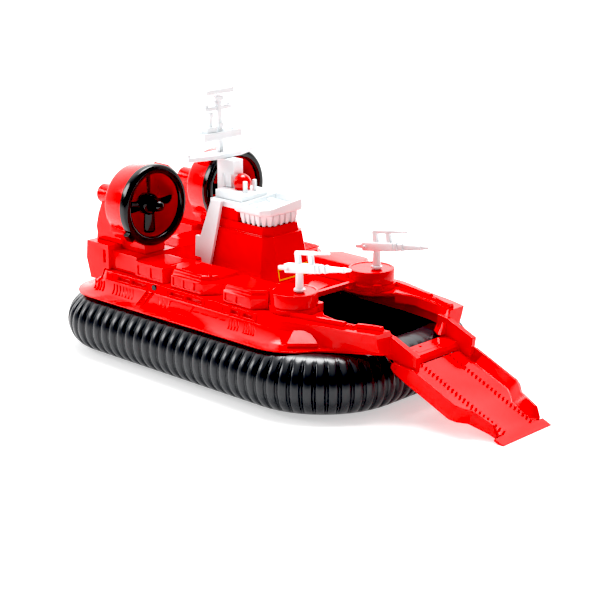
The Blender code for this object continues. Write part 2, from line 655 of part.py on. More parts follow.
def build_gun(name, side):
    gun = finish(f"gun_{name}", disc(0, 0, 0.0037, 0.0010, 0.0200, 20), WHITE)
    join(gun, disc(0, 0, 0.0052, 0.0, 0.0022, 24), "collar")
    parts = (("receiver", -0.0130, 0.0220, 0.0036, 0.0036, 0.0042, 0.0040, 0.0),
             ("barrel", 0.0210, 0.0560, 0.0026, 0.0018, 0.0030, 0.0020, 0.0),
             ("muzzle", 0.0500, 0.0590, 0.0028, 0.0028, 0.0014, 0.0012, 0.0),
             ("grip", -0.0235, -0.0120, 0.0022, 0.0028, 0.0020, 0.0030, 0.0),
             ("rail", -0.0020, 0.0370, 0.0012, 0.0008, 0.0012, 0.0008, 0.0135),
             ("rear_stay", -0.0016, 0.0018, 0.0013, 0.0013, 0.0062, 0.0062, 0.0075),
             ("front_stay", 0.0130, 0.0170, 0.0013, 0.0013, 0.0062, 0.0062, 0.0075))
    for label, x0, x1, w0, w1, h0, h1, lift in parts:
        bm = gun_bar(x0, x1, w0, w1, h0, h1, lift)
        bmesh.ops.rotate(bm, verts=bm.verts, matrix=Matrix.Rotation(-GUN_PITCH, 3, "Y"))
        bmesh.ops.translate(bm, verts=bm.verts, vec=(0, 0, 0.0200))
        join(gun, bm, label)
    for mod in gun.modifiers:
        mod.object.parent = gun
    gun.location = (GUN_X, side * GUN_Y, BASE_TOP + GAP)
    return gun


# Ramp
def build_ramp():
    """Plate with raised sides, built level with its hinge at the origin, then let down."""
    run = RAMP_TIP_X - HINGE_X
    length = run / cos(RAMP_SLOPE) - 0.0004
    top = (run * sin(RAMP_SLOPE) / cos(RAMP_SLOPE) - HINGE_Z) * cos(RAMP_SLOPE) + 0.0003
    under = top - 0.0022
    bevel = 0.0022 / (sin(RAMP_SLOPE) / cos(RAMP_SLOPE)) - 0.0004
    outline = [(0.0080, 0.0324), (0.0255, 0.0324), (0.0265, 0.0400), (0.0640, 0.0400),
               (0.0760, 0.0290), (0.1030, 0.0255), (0.1035, 0.0324)]
    half = [(x, -y) for x, y in outline]
    low = half + [(length - bevel, -0.0324)]
    high = half + [(length, -0.0324)]
    ramp = finish("ramp", loft([[(x, y, under) for x, y in mirrored(low)],
                                [(x, y, top - 0.0003) for x, y in mirrored(high)],
                                [(x, y, top) for x, y in mirrored(high)]]), RED, sharp=20)
    for label, side in SIDES:
        # aft arm beside the cheek, with the eye for the hinge pin
        arm = [(-0.0036, -0.0030), (0.0010, -0.0050), (0.0150, top - 0.0075),
               (0.0300, top - 0.0075), (0.0300, top + 0.0075), (0.0180, top + 0.0075),
               (0.0030, 0.0040), (-0.0020, 0.0036), (-0.0040, 0.0010)]
        join(ramp, slab(arm, side * WALL_IN, side * WALL_OUT), f"arm_{label}")
        # side wall with a sloped inner face, drawn in over its last third
        rows = []
        for x, foot, crest, out, down in ((0.0262, 0.0325, 0.0402, WALL_OUT, 0.0075),
                                          (0.0640, 0.0325, 0.0402, WALL_OUT, 0.0075),
                                          (0.0700, 0.0290, 0.0370, 0.0388, 0.0070),
                                          (0.0770, 0.0225, 0.0305, 0.0322, 0.0055),
                                          (0.0960, 0.0205, 0.0280, 0.0298, 0.0022),
                                          (0.1030, 0.0200, 0.0262, 0.0290, 0.0020)):
            tall = 0.0075 if x < 0.1 else 0.0010
            rows.append([(x, side * foot, top - 0.0010), (x, side * foot, top),
                         (x, side * crest, top + tall), (x, side * out, top + tall),
                         (x, side * out, top - down), (x, side * (out - 0.0026), top - down),
                         (x, side * (out - 0.0026), top - 0.0012)])
        join(ramp, loft(rows), f"wall_{label}")
        eye = slab(arc(0, 0, PIN_R + GAP, 0, 337.5, 15), side * 0.0380, side * 0.0440)
        cut(ramp, eye, f"eye_{label}")
    for mod in ramp.modifiers:
        mod.object.parent = ramp
    ramp.location = (HINGE_X, 0, HINGE_Z)
    ramp.rotation_euler = (0, RAMP_SLOPE, 0)
    return ramp


build_skirt()
build_floor()
build_hull()
build_beam()
build_hatch()
build_tower()
build_windows()
build_roof()
build_lamp_house()
build_beacon()
build_column()
build_wing()
build_mast()
for side_name, side_sign in SIDES:
    build_stern_block(side_name, side_sign)
    build_pylon(side_name, side_sign)
    build_drum(side_name, side_sign)
    build_ring(side_name, side_sign)
    build_rotor(side_name, side_sign)
    build_locker(side_name, side_sign)
    build_house_aft(side_name, side_sign)
    build_house_fore(side_name, side_sign)
    build_leg(side_name, side_sign)
    build_gun_base(side_name, side_sign)
    build_gun(side_name, side_sign)
build_ramp()
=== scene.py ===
# %% [markdown]
# # A toy hovercraft in moulded plastic
# The toy is a bright red craft on a black ribbed skirt. Two ducted fans stand at the stern,
# a bridge with a white roof and mast stands amidships, two white guns turn on the fore deck,
# and a ramp hangs at the bow. The solid model gives every piece its place and its joints.
# This lesson gives each piece its fine surface, its plastic and its light.

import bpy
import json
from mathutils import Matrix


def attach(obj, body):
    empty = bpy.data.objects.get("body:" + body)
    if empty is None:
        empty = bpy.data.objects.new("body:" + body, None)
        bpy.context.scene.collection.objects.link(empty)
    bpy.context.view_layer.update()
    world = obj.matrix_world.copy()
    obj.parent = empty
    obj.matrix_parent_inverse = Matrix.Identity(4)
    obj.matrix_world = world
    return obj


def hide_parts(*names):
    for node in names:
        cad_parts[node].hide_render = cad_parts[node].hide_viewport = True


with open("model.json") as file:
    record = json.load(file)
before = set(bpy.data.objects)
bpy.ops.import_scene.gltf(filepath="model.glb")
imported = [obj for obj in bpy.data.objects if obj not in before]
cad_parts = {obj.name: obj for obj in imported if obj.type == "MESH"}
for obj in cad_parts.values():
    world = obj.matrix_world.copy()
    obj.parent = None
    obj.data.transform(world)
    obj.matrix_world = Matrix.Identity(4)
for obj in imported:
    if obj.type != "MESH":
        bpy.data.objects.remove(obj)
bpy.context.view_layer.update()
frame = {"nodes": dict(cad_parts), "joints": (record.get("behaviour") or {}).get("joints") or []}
nodes = frame["nodes"]

# %% Libraries and units
import json
from math import asin, cos, degrees, pi, radians, sin

import bmesh
import bpy
import numpy as np
from mathutils import Matrix, Vector

MM = 0.001
SIDES = (("starboard", -1), ("port", 1))

# %% [markdown]
# ## The camera
# A photograph of a product is mostly taken with a long lens from a little above the table.
# Three vectors fix the view: where the camera looks, what is to its right and what is above.
# They make the columns of the camera's matrix, so no tracking constraint is needed.

# %% Camera at the photograph's angle
right = Vector((0.7247, 0.6891, 0.0))
above = Vector((-0.1988, 0.2091, 0.9575))
ahead = Vector((-0.6598, 0.6939, -0.2885))
camera_data = bpy.data.cameras.new("photo_camera")
camera_data.lens = 101.0
camera_data.sensor_width = 36.0
camera_data.clip_start = 0.05
camera = bpy.data.objects.new("photo_camera", camera_data)
camera.matrix_world = Matrix.Translation((0.9657, -1.0333, 0.4905)) @ Matrix(
    (right, above, -ahead)).transposed().to_4x4()
bpy.context.scene.collection.objects.link(camera)
bpy.context.scene.camera = camera
print("the camera looks down by", round(degrees(asin(-ahead.z)), 1), "degrees")

# %% [markdown]
# ## Helpers for materials
# Colours are easiest to match as sRGB hex values, as a picture editor shows them, but the
# shader works with linear light. One function turns the one into the other. A second one adds
# any node, sets its inputs and links it, so that each finish below reads as a short list.

# %% Colour and node helpers
def linear(hex_colour):
    """sRGB hex to linear RGBA: each channel is raised to about 2.4, as the sRGB curve says."""
    srgb = np.array([int(hex_colour[i:i + 2], 16) / 255 for i in (0, 2, 4)])
    flat = np.where(srgb <= 0.04045, srgb / 12.92, ((srgb + 0.055) / 1.055) ** 2.4)
    return (*(float(c) for c in flat), 1.0)


def add(tree, kind, settings=None, **links):
    """Adds a node, sets its attributes and inputs, and links sockets given by input name."""
    node = tree.nodes.new(kind)
    for key, value in (settings or {}).items():
        if key in node.inputs:
            node.inputs[key].default_value = value
        else:
            setattr(node, key, value)
    for key, socket in links.items():
        tree.links.new(socket, node.inputs[key.replace("_", " ")])
    return node


# %% [markdown]
# ## Glossy moulded plastic
# The red and black parts are injection-moulded polypropylene. A polished mould leaves a clear
# gloss, and the plastic shrinks a little as it cools, which gives very shallow waves that make
# reflections swim. A finer grain lies on top of them, drawn coarser than a real mould's grain so
# that it shows. Both are noise on Object coordinates, with wavelengths in millimetres, and they
# drive a bump and a small change of roughness.

# %% One recipe for moulded plastic, with its own numbers for each colour
def moulded_plastic(name, colour, shade, roughness, wave_mm, wave_depth, grain_mm, grain_depth,
                    specular=0.5, coat=0.0, clear=0.0):
    """Principled plastic: two colours mixed by slow noise, roughness and bump from noise."""
    mat = bpy.data.materials.new(name)
    mat.use_nodes = True
    tree = mat.node_tree
    tree.nodes.clear()
    place = add(tree, "ShaderNodeTexCoord").outputs["Object"]
    slow = add(tree, "ShaderNodeTexNoise", {"Scale": 1 / (wave_mm * MM), "Detail": 1.0},
               Vector=place)
    fine = add(tree, "ShaderNodeTexNoise", {"Scale": 1 / (grain_mm * MM), "Detail": 3.0},
               Vector=place)
    tint = add(tree, "ShaderNodeMix", {"data_type": "RGBA"})
    tint.inputs["A"].default_value = linear(colour)
    tint.inputs["B"].default_value = linear(shade)
    tree.links.new(slow.outputs["Fac"], tint.inputs["Factor"])
    rough = add(tree, "ShaderNodeMapRange", {"To Min": roughness * 0.8,
                                             "To Max": roughness * 1.25},
                Value=fine.outputs["Fac"])
    waves = add(tree, "ShaderNodeBump", {"Strength": 1.0, "Distance": wave_depth * MM},
                Height=slow.outputs["Fac"])
    grain = add(tree, "ShaderNodeBump", {"Strength": 1.0, "Distance": grain_depth * MM},
                Height=fine.outputs["Fac"], Normal=waves.outputs["Normal"])
    shader = add(tree, "ShaderNodeBsdfPrincipled",
                 {"IOR": 1.49, "Specular IOR Level": specular, "Coat Weight": coat,
                  "Coat Roughness": 0.08, "Transmission Weight": clear},
                 Roughness=rough.outputs["Result"], Normal=grain.outputs["Normal"])
    tree.links.new(tint.outputs["Result"], shader.inputs["Base Color"])
    add(tree, "ShaderNodeOutputMaterial", Surface=shader.outputs["BSDF"])
    mat.diffuse_color = linear(colour)
    return mat


# %% The finishes
# Polished red: a pure, even colour under soft broad reflections.
red_gloss = moulded_plastic("red_polypropylene_polished", "FA0400", "F20200", 0.16,
                            26, 0.10, 0.9, 0.006, specular=0.30)
# Black with a little grey in it, and a strong enough gloss to draw a bright line on each rib.
skirt_black = moulded_plastic("black_polypropylene_skirt", "232529", "292B2F", 0.24,
                              18, 0.12, 0.8, 0.010, specular=0.55)
# Deep black with a tighter gloss, for the crescents on the intake rings.
fan_black = moulded_plastic("black_polypropylene_fan", "0A0B0D", "0F1013", 0.18,
                            22, 0.06, 0.8, 0.006)
# A duller mould: white with only a faint shine.
white_satin = moulded_plastic("white_polypropylene_satin", "F5F9FB", "EFF3F5", 0.34,
                              20, 0.06, 0.7, 0.010)
# Clear red polystyrene: a sharp glint, and a little light passes through.
lamp_clear = moulded_plastic("red_polystyrene_clear", "FF0806", "F00404", 0.07,
                             12, 0.03, 0.9, 0.003, clear=0.12)
print("finishes:", [m.name for m in (red_gloss, skirt_black, fan_black, white_satin, lamp_clear)])

# %% [markdown]
# ## Helpers for shapes
# A surface is a grid of points worked out for whole arrays at once. Its faces only depend on
# the number of rows and columns and on whether the grid closes on itself. One more function
# puts points and faces into a mesh object, and says on which body it rides.

# %% Grid faces and finished pieces
EDGE_ANGLE = 32


def grid_faces(rows, columns, wrap_rows=False, wrap_columns=True):
    """Quads between neighbouring rows and columns of a grid, as an (n, 4) index array."""
    i = np.arange(rows if wrap_rows else rows - 1)
    j = np.arange(columns if wrap_columns else columns - 1)
    a, b = (g.ravel() for g in np.meshgrid(i, j, indexing="ij"))
    a1, b1 = (a + 1) % rows, (b + 1) % columns
    return np.stack([a * columns + b, a * columns + b1, a1 * columns + b1, a1 * columns + b], 1)


def piece(name, points, faces, material, body="craft", slot=None, replaces=None, smooth=30,
          bevel=0.0):
    """Makes a mesh object of points and faces, with outward normals and soft edges."""
    mesh = bpy.data.meshes.new(name)
    mesh.from_pydata(np.asarray(points, float).reshape(-1, 3).tolist(), [],
                     [list(map(int, f)) for f in faces])
    bm = bmesh.new()
    bm.from_mesh(mesh)
    bmesh.ops.remove_doubles(bm, verts=bm.verts, dist=1e-6)
    bmesh.ops.recalc_face_normals(bm, faces=bm.faces)
    bm.to_mesh(mesh)
    bm.free()
    dress(name, mesh, material, body, replaces, smooth, bevel)


def dress(name, mesh, material, body, replaces, smooth, bevel):
    """Shades a mesh, rounds its sharp edges, gives it a finish, ties it to a body and hides the
    nodes it replaces.
    """
    mesh.materials.clear()
    mesh.materials.append(material)
    mesh.shade_smooth()
    mesh.set_sharp_from_angle(angle=radians(smooth))
    obj = bpy.data.objects.new(name, mesh)
    bpy.context.scene.collection.objects.link(obj)
    if bevel:
        mod = obj.modifiers.new("round_edges", "BEVEL")
        mod.width = bevel * MM
        mod.segments = 2
        mod.limit_method = "ANGLE"
        mod.angle_limit = radians(EDGE_ANGLE)
        mod.use_clamp_overlap = False
        mod.harden_normals = True
    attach(obj, body)
    for node in (replaces or []):
        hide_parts(node)


def softened(node, material, body="craft", bevel=0.35, smooth=EDGE_ANGLE):
    """A copy of a node with its loose triangles merged, flats joined and edges rounded."""
    mesh = nodes[node].data.copy()
    bm = bmesh.new()
    bm.from_mesh(mesh)
    bmesh.ops.remove_doubles(bm, verts=bm.verts, dist=2e-6)
    bmesh.ops.dissolve_limit(bm, angle_limit=radians(0.6), verts=bm.verts, edges=bm.edges)
    bmesh.ops.triangulate(bm, faces=[f for f in bm.faces if len(f.verts) > 16])
    bm.to_mesh(mesh)
    bm.free()
    dress(f"{node}_moulding", mesh, material, body, [node], smooth, bevel)


# %% [markdown]
# ## Turned shapes, bars and blocks
# Rings, drums and posts are profiles turned about a line. Bars are rounded rectangles carried
# from one end to the other. Small fittings such as slats and louvres are many equal blocks in
# one mesh, whose corners are one array sum.

# %% Lathe, bar and block helpers
def turned(profile, centre, axis="x", sides=72, closed=False):
    """Points (along, radius) turned about an axis: along + radius * (cos, sin) of the turn."""
    profile = np.asarray(profile, float) * MM
    t = np.linspace(0, 2 * pi, sides, endpoint=False)
    along = np.repeat(profile[:, :1], sides, 1)
    across = profile[:, 1:] * np.cos(t)
    over = profile[:, 1:] * np.sin(t)
    order = {"x": (along, across, over), "z": (across, over, along)}[axis]
    points = np.stack(order, -1) + np.asarray(centre, float) * MM
    faces = grid_faces(len(profile), sides, wrap_rows=closed)
    return points.reshape(-1, 3), faces


def capped(points, faces, columns):
    """Closes the first and the last row of a grid with one face each."""
    rows = len(points) // columns
    ends = [list(range(columns))[::-1], list(range((rows - 1) * columns, rows * columns))]
    return points, [list(f) for f in faces] + ends


def rounded_rectangle(half_w, half_h, radius, steps=4):
    """Outline points of a rectangle with quarter-circle corners, counter-clockwise."""
    t = np.linspace(0, pi / 2, steps)
    quarter = np.stack([np.cos(t), np.sin(t)], 1) * radius
    corners = []
    for k, (sx, sy) in enumerate(((1, 1), (-1, 1), (-1, -1), (1, -1))):
        c, s = cos(k * pi / 2), sin(k * pi / 2)
        turned_quarter = quarter @ np.array([[c, s], [-s, c]])
        corners.append(turned_quarter + [sx * (half_w - radius), sy * (half_h - radius)])
    return np.concatenate(corners)


def bar(stations, radius, steps=4):
    """A rounded bar along X: each station is (x, z, half width in y, half height in z)."""
    rows = []
    for x, z, half_w, half_h in stations:
        r = min(radius, half_w * 0.98, half_h * 0.98)
        outline = rounded_rectangle(half_w, half_h, r, steps)
        rows.append(np.column_stack([np.full(len(outline), x), outline[:, 0],
                                     outline[:, 1] + z]))
    points = np.stack(rows) * MM
    faces = grid_faces(len(rows), points.shape[1])
    return capped(points.reshape(-1, 3), faces, points.shape[1])


CORNERS = np.array([[x, y, z] for x in (-1, 1) for y in (-1, 1) for z in (-1, 1)], float)
BLOCK_FACES = np.array([[0, 1, 3, 2], [4, 6, 7, 5], [0, 4, 5, 1], [2, 3, 7, 6],
                        [0, 2, 6, 4], [1, 5, 7, 3]])


def blocks(centres, halves, axes=None):
    """Many boxes: centre + sum of (corner sign * half size * axis), all as one array."""
    centres = np.atleast_2d(np.asarray(centres, float))
    halves = np.broadcast_to(np.asarray(halves, float), centres.shape)
    offsets = CORNERS[None] * halves[:, None]
    if axes is not None:
        offsets = offsets @ np.asarray(axes, float)
    points = (centres[:, None] + offsets) * MM
    faces = (BLOCK_FACES[None] + 8 * np.arange(len(centres))[:, None, None]).reshape(-1, 4)
    return points.reshape(-1, 3), faces


def together(*parts):
    """Joins (points, faces) pairs into one pair, shifting the face numbers."""
    points, faces, start = [], [], 0
    for p, f in parts:
        points.append(np.asarray(p).reshape(-1, 3))
        faces += [[int(i) + start for i in face] for face in f]
        start += len(points[-1])
    return np.concatenate(points), faces


# %% [markdown]
# ## The skirt
# A real hovercraft rides on a flexible skirt. The toy imitates it with a tube whose outer side
# is moulded in ribs, like a drain hose. A plain torus would not follow the rounded rectangle,
# so the tube is a grid: one parameter runs along the middle line, the other round the tube.

# %% The middle line as arcs and straights
SKIRT = {"stern": -233.0, "bow": 126.0, "beam": 118.0, "tube": 26.0, "stern_turn": 30.0,
         "bow_turn": 62.0, "pitch": 10.9, "phase": 0.16}


def skirt_line(samples=400):
    """Middle line as four quarter circles; the lengths are those of the tube's outer edge."""
    r = SKIRT["tube"]
    bow, stern, beam = SKIRT["bow"] - r, SKIRT["stern"] + r, SKIRT["beam"] - r
    rb, rs = SKIRT["bow_turn"], SKIRT["stern_turn"]
    spots = ((bow - rb, beam - rb, rb, 0), (stern + rs, beam - rs, rs, 90),
             (stern + rs, rs - beam, rs, 180), (bow - rb, rb - beam, rb, 270))
    turns = np.radians(np.concatenate([np.linspace(a, a + 90, samples) for *_, a in spots]))
    cx, cy, radius = (np.repeat([spot[k] for spot in spots], samples) for k in range(3))
    x, y = cx + radius * np.cos(turns), cy + radius * np.sin(turns)
    x, y, turns = np.append(x, x[0]), np.append(y, y[0]), np.append(turns, 2 * pi)
    ox, oy = x + r * np.cos(turns), y + r * np.sin(turns)
    length = np.concatenate([[0], np.cumsum(np.hypot(np.diff(ox), np.diff(oy)))])
    return length, x, y, turns


# %% [markdown]
# Each rib is given by how far the surface lies below the tube's full radius. The ribs fade out
# towards the inner side of the tube, which is plain.

# %% The ribs
RIB_ROWS = np.array([0, .045, .085, .11, .14, .17, .22, .30, .40, .50, .60, .70, .78, .83, .86,
                     .89, .915, .955])
RIB_FADE = {"start": 0.70, "over": 0.2, "share": 0.96}


def rib_drop(row):
    """Broad rib 0.9 x^2.4 with steep flanks, a bead 1.1 + 0.9 (u/0.075)^2 in the groove."""
    u = np.minimum(row, 1 - row)
    x = (0.5 - u) / 0.34
    rib = 0.9 * x ** 2.4 + 14 * np.clip(x - 1, 0, None)
    bead = 1.1 + 0.9 * (u / 0.075) ** 2
    return np.minimum(np.minimum(rib, bead), 2.2)


def skirt_surface(columns=52):
    """Middle line + (R - drop) * (outwards cos a, up sin a); no ribs below cos a of 0.5."""
    length, x, y, t = skirt_line()
    ribs = int(round(length[-1] / SKIRT["pitch"]))
    rows = np.tile(RIB_ROWS, ribs)
    at = (np.repeat(np.arange(ribs), len(RIB_ROWS)) + rows + SKIRT["phase"]) / ribs % 1.0
    cx, cy, heading = (np.interp(at * length[-1], length, v)[:, None] for v in (x, y, t))
    a = 2 * pi * (np.arange(columns) + 0.5)[None] / columns
    inner = np.clip((RIB_FADE["start"] - np.cos(a)) / RIB_FADE["over"], 0, 1)
    r = SKIRT["tube"] - rib_drop(rows)[:, None] * (1 - RIB_FADE["share"] * inner)
    out = r * np.cos(a)
    points = np.stack([cx + out * np.cos(heading), cy + out * np.sin(heading),
                       SKIRT["tube"] + r * np.sin(a)], -1) * MM
    return ribs, points.reshape(-1, 3), grid_faces(len(rows), columns, wrap_rows=True)


ribs, points, faces = skirt_surface()
piece("skirt_ribbed_tube", points, faces, skirt_black, slot="black_plastic",
      replaces=["skirt"], smooth=70)
print("ribs:", ribs, "skirt triangles:", 2 * len(faces))

# %% [markdown]
# ## The red mouldings
# The hull, the deck houses and the tower are blocks with drafted sides. Their shapes are right
# in the solid model, but every edge there is knife sharp, and a moulded edge never is. A copy
# of each node gets its flats joined and its edges rounded by a third of a millimetre. Edges
# that turn by less than a set angle are shaded smooth: few on the hull, more on the tower.

# %% Copies with rounded edges
RED_NODES = ["hull", "hold_rear_beam", "deck_hatch", "tower"]
RED_NODES += [f"{stem}_{side}" for side, _ in SIDES
              for stem in ("side_locker", "side_house_aft", "side_house_fore", "stern_block",
                           "fan_pylon")]
SMOOTH = {"hull": 22, "tower": 50}
for node in RED_NODES:
    softened(node, red_gloss, smooth=SMOOTH.get(node, EDGE_ANGLE))
softened("hold_floor", skirt_black)
for node in ("lamp_house", "mast_column", "mast_wing",
             "mast_leg_starboard", "mast_leg_port"):
    softened(node, white_satin)

# %% [markdown]
# ## The ramp
# Two rows of short teeth stand on the ramp's plate and give small wheels a grip. They are
# laid out level beside the hinge and then let down with the ramp's slope.

# %% The ramp with its teeth
HINGE = np.array([129.0, 0.0, 43.0])
RAMP_SLOPE = radians(23.2)
RAMP_TOP = 1.83


def ramp_teeth(rows=(-18.0, 18.0), first=9.5, last=101.5, count=22):
    """Centres along each row at equal steps; the axes are along the ramp, across and up."""
    along = np.array([cos(RAMP_SLOPE), 0.0, -sin(RAMP_SLOPE)])
    up = np.array([sin(RAMP_SLOPE), 0.0, cos(RAMP_SLOPE)])
    spots = [(x, y) for y in rows for x in np.linspace(first, last, count)]
    centres = [HINGE + along * x + [0.0, y, 0.0] + up * (RAMP_TOP + 0.9) for x, y in spots]
    return blocks(centres, [0.55, 0.95, 1.2], [along, [0.0, 1.0, 0.0], up])


softened("ramp", red_gloss, body="ramp")
points, faces = ramp_teeth()
piece("ramp_teeth", points, faces, red_gloss, body="ramp", slot="red_plastic", bevel=0.15)
print("ramp teeth:", len(points) // 8)

# %% [markdown]
# ## The fans
# Each fan is a red drum with a motor housing behind it, a black ring that grips the front of
# the drum, and four broad blades. The drum is a profile turned about the fan's axis, with three
# small lugs on its rim, which are blocks set out by their angle round the axis.

# %% Drum and lugs
JOINTS = {j["name"]: np.array(j["pos_m"]) / MM for j in frame["joints"]}
FRONT, SLEEVE, DRUM_FRONT, DRUM_BACK = -147.0, -155.8, -151.5, -181.0
RING_R, THROAT_R, DRUM_R, DRUM_INNER = 37.2, 29.0, 36.2, 30.3
LUG_TURNS, CLASP_TURN = (50, 220, 320), 220


def lug(hub, sign, turn, inner, outer, half, back, front):
    """A block on the rim: its axes are the fan's axis, the radius and the way round."""
    a = radians(turn)
    away = np.array([0, -sign * cos(a), sin(a)])
    along = np.array([0, sin(a), sign * cos(a)])
    centre = hub * [0, 1, 1] + away * (inner + outer) / 2 + [(back + front) / 2, 0, 0]
    return blocks([centre], [(front - back) / 2, (outer - inner) / 2, half],
                  [[1, 0, 0], away, along])


def fan_drum(side, sign):
    """The drum, closed at the back with its motor housing, as a profile turned about X."""
    hub = JOINTS[f"fan_{side}_spin"] * [0, 1, 1]
    wall = DRUM_BACK + 2.5
    drum = [(-221.5, 0), (-221.5, 7.4), (-221.1, 8.4), (-220.2, 9.0), (-182.5, 9.0),
            (-181.3, 9.5), (DRUM_BACK, 10.6), (DRUM_BACK, 31.6), (-180.6, 32.8), (-179.6, 33.6),
            (-178.0, 34.1), (SLEEVE, DRUM_R), (SLEEVE, 35.5), (DRUM_FRONT, 35.5),
            (DRUM_FRONT, DRUM_INNER), (wall + 0.8, DRUM_INNER), (wall + 0.2, 30.0),
            (wall, 29.3), (wall, 4.4), (wall + 0.5, 4.0), (-166.2, 4.0), (-165.8, 3.6),
            (-165.8, 0)]
    lugs = [lug(hub, sign, turn, 33.0, 39.5, 4.2, -174.0, SLEEVE) for turn in LUG_TURNS]
    points, faces = together(turned(drum, hub, sides=96), *lugs)
    piece(f"fan_drum_shell_{side}", points, faces, red_gloss, slot="red_plastic",
          replaces=[f"fan_drum_{side}"], bevel=0.3)


# %% [markdown]
# The black ring is a closed profile turned about the same axis. Its lip is half an ellipse,
# which is what catches the long crescent highlights. A clasp low on the rim holds it.

# %% Intake ring
LIP_DEPTH = 3.2


def fan_ring(side, sign):
    """The lip: depth * sin t forwards, middle radius + half the width * cos t outwards."""
    hub = JOINTS[f"fan_{side}_spin"] * [0, 1, 1]
    t = np.linspace(0, pi, 13)
    lip = np.stack([FRONT - LIP_DEPTH + LIP_DEPTH * np.sin(t),
                    (RING_R + THROAT_R) / 2 + (RING_R - THROAT_R) / 2 * np.cos(t)], 1)
    step, back = DRUM_FRONT + 0.3, SLEEVE + 0.3
    ring = [(step, 35.8), (back, 35.8), (back, 37.1), (back + 0.4, RING_R), *lip,
            (step, THROAT_R)]
    clasp = lug(hub, sign, CLASP_TURN, 36.2, 41.0, 4.0, back, FRONT - 1.5)
    points, faces = together(turned(ring, hub, sides=112, closed=True), clasp)
    piece(f"fan_ring_lip_{side}", points, faces, fan_black, slot="black_plastic",
          replaces=[f"fan_ring_{side}"], bevel=0.25)


for side, sign in SIDES:
    fan_drum(side, sign)
    fan_ring(side, sign)
print("fan joints, mm:", [JOINTS[f"fan_{side}_spin"].round(1).tolist() for side, _ in SIDES])

# %% [markdown]
# ## The rotors
# A fan blade is twisted: its root stands steeper than its tip, because the tip moves faster
# through the air. The section is a flat ellipse, and at every radius it gets its own chord,
# thickness and pitch. The last stations shrink along a circle, which rounds the tip.

# %% Four blades on a hub with a pointed nose
ROTOR_X, TIP_R = -158.0, 27.3


def blade(stations=14, around=20):
    """Section (chord cos u, thick sin u) / 2 turned by the pitch, at radius r along +Z."""
    r = np.concatenate([np.linspace(3.0, 25.4, stations - 4), [26.3, 26.9, 27.2, TIP_R]])
    shrink = np.ones(stations)
    shrink[-4:] = (0.90, 0.68, 0.38, 0.12)
    chord = (8.4 + 2.2 * np.minimum(1, r / 20)) * shrink
    thick = (1.7 - 0.6 * r / TIP_R) * np.sqrt(shrink)
    pitch = np.radians(40 - 14 * r / TIP_R)[:, None]
    u = np.linspace(0, 2 * pi, around, endpoint=False)[None]
    a, b = chord[:, None] / 2 * np.cos(u), thick[:, None] / 2 * np.sin(u)
    points = np.stack([b * np.cos(pitch) - a * np.sin(pitch),
                       a * np.cos(pitch) + b * np.sin(pitch),
                       np.broadcast_to(r[:, None], a.shape)], -1)
    return capped(points.reshape(-1, 3), grid_faces(stations, around), around)


def rotor(side):
    """The blade four times round the axis, the hub and its nose as one turned profile."""
    hub = JOINTS[f"fan_{side}_spin"] * [0, 1, 1]
    points, faces = blade()
    parts = []
    for k in range(4):
        c, s = cos(k * pi / 2), sin(k * pi / 2)
        spun = points @ np.array([[1, 0, 0], [0, c, s], [0, -s, c]])
        parts.append(((spun + hub + [ROTOR_X, 0, 0]) * MM, faces))
    nose = [(-165.5, 0), (-165.5, 8.2), (-164.8, 9.2), (-163.6, 9.8), (-156.4, 9.8),
            (-155.2, 9.4), (-154.4, 8.4), (-153.6, 6.4), (-147.4, 5.8), (-144.2, 5.2),
            (-142.0, 4.4), (-140.5, 3.2), (-139.7, 1.8), (-139.5, 0)]
    points, faces = together(turned(nose, hub, sides=40), *parts)
    piece(f"fan_blades_{side}", points, faces, fan_black, body=f"fan_{side}",
          slot="black_plastic", replaces=[f"fan_rotor_{side}"], smooth=40)


for side, _ in SIDES:
    rotor(side)
print("blade tips clear the throat by", round(THROAT_R - TIP_R, 2), "mm")

# %% [markdown]
# ## The guns
# Each gun stands in a round base on the fore deck: a drum on a wider tier, with a boss beside
# it. Both are profiles turned about a vertical axis.

# %% Round bases
BASE = {"x": 23.5, "y": 49.4, "radius": 20.4, "tier": 21.8, "deck": 72.3, "tier_top": 76.8,
        "top": 88.8}


def gun_base(side, sign):
    """A drum on a wider tier, with the small boss towards the hold, turned about +Z."""
    b = BASE
    tub = [(b["deck"], 0), (b["deck"], b["tier"]), (b["tier_top"] - 0.3, b["tier"]),
           (b["tier_top"], b["tier"] - 0.3), (b["tier_top"], b["radius"]),
           (b["top"] - 0.5, b["radius"]), (b["top"] - 0.15, b["radius"] - 0.15),
           (b["top"], b["radius"] - 0.5), (b["top"], 18.2), (b["top"] - 0.5, 17.9),
           (b["top"] - 0.5, 0)]
    boss = [(b["deck"], 0), (b["deck"], 4.2), (78.6, 4.2), (79.0, 3.8), (79.0, 0)]
    points, faces = together(turned(tub, (b["x"], sign * b["y"], 0), "z", 96),
                             turned(boss, (40.5, sign * 37.5, 0), "z", 32))
    piece(f"gun_tub_{side}", points, faces, red_gloss, slot="red_plastic",
          replaces=[f"gun_base_{side}"], smooth=35)


# %% [markdown]
# The gun points a little upwards on its slim post. Its body is bars of rounded rectangle
# section: grip, receiver and barrel, with a sighting rail on two stays above. They are built
# level, then pitched, then moved onto the post's axis.

# %% Guns
GUN_PITCH = radians(9.0)
GUN_RISE = 20.0


